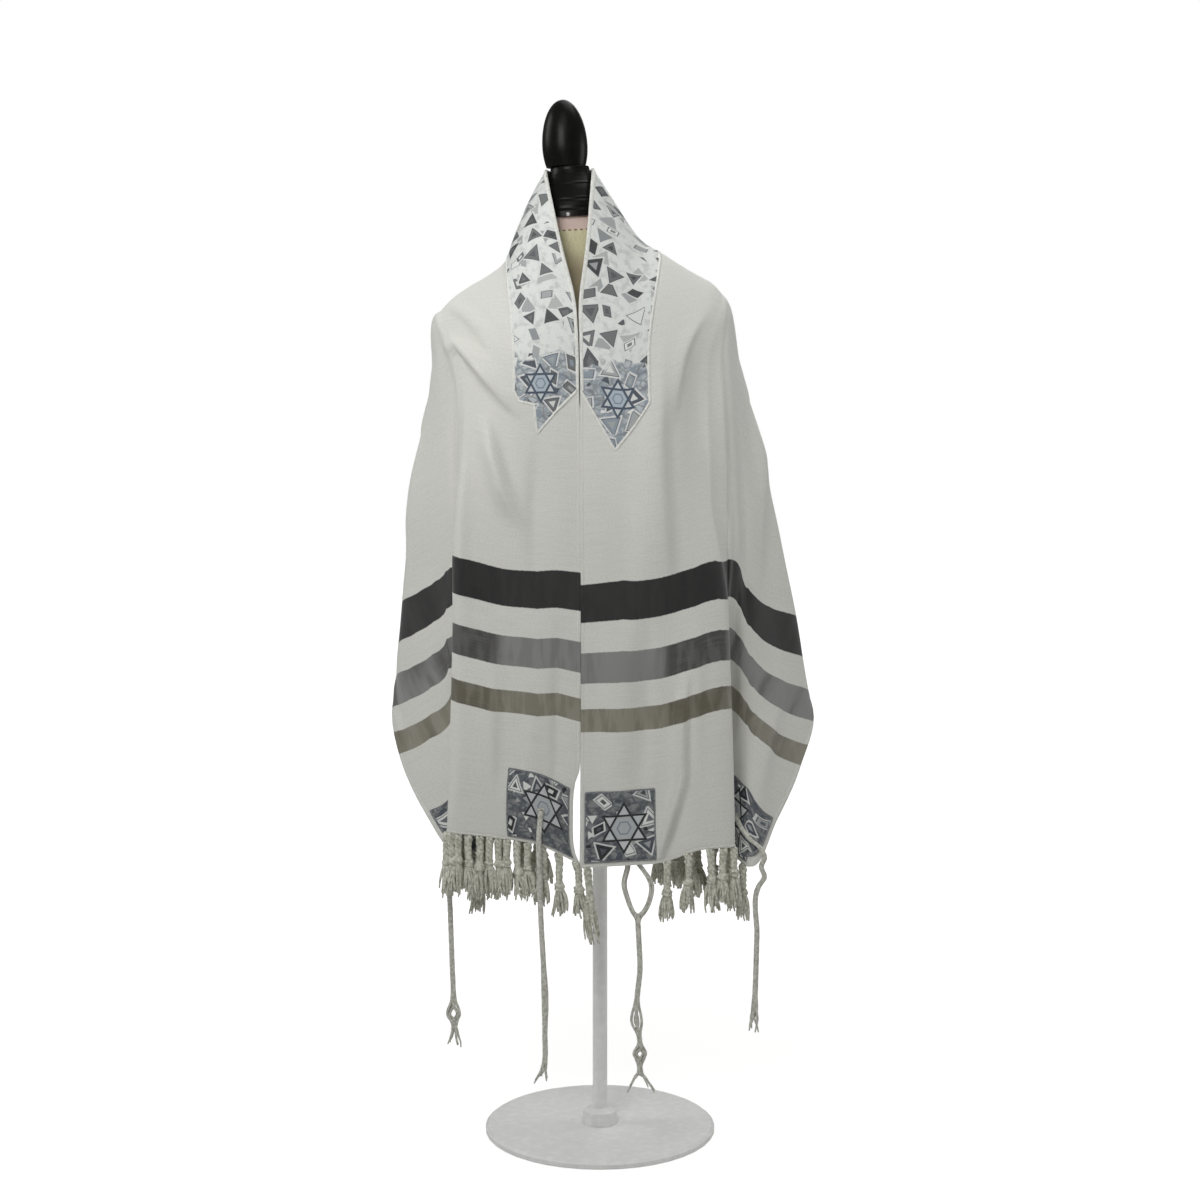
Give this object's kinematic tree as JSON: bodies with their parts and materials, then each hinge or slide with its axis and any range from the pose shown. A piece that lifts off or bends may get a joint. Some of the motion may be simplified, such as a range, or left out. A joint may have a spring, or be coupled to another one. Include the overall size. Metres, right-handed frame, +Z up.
{
  "type": "tallit prayer shawl on a limbless dress form",
  "caption": "Striped prayer shawl with a neckband, corner patches, fringe and tzitzit, draped open at the front over a limbless dress form on a round-based stand.",
  "frame": {"origin": "centre of the stand's base, on the floor", "axes": "+Z up, the shawl's open front faces -Y, +X to the viewer's right"},
  "size_m": [0.5454, 0.3, 1.3265],
  "materials": {
    "cloth": "fine plain weave, off-white with woven bands",
    "trim": "light silver-grey sewn facing with a geometric design",
    "thread": "twisted off-white yarn",
    "linen": "beige linen-covered form",
    "black": "black gloss",
    "stand": "white enamel"
  },
  "bodies": {
    "root": {"shawl_cloth": "cloth", "atarah": "trim", "patch_front_left": "trim", "patch_front_right": "trim", "patch_side_left": "trim", "patch_side_right": "trim", "fringe_left": "thread", "fringe_right": "thread", "tzitzit_front_left": "thread", "tzitzit_front_right": "thread", "tzitzit_side_left": "thread", "tzitzit_side_right": "thread", "form_torso": "linen", "form_neck_cap": "black", "form_finial": "black", "stand_pole": "stand", "stand_base": "stand"}
  },
  "joints": []
}
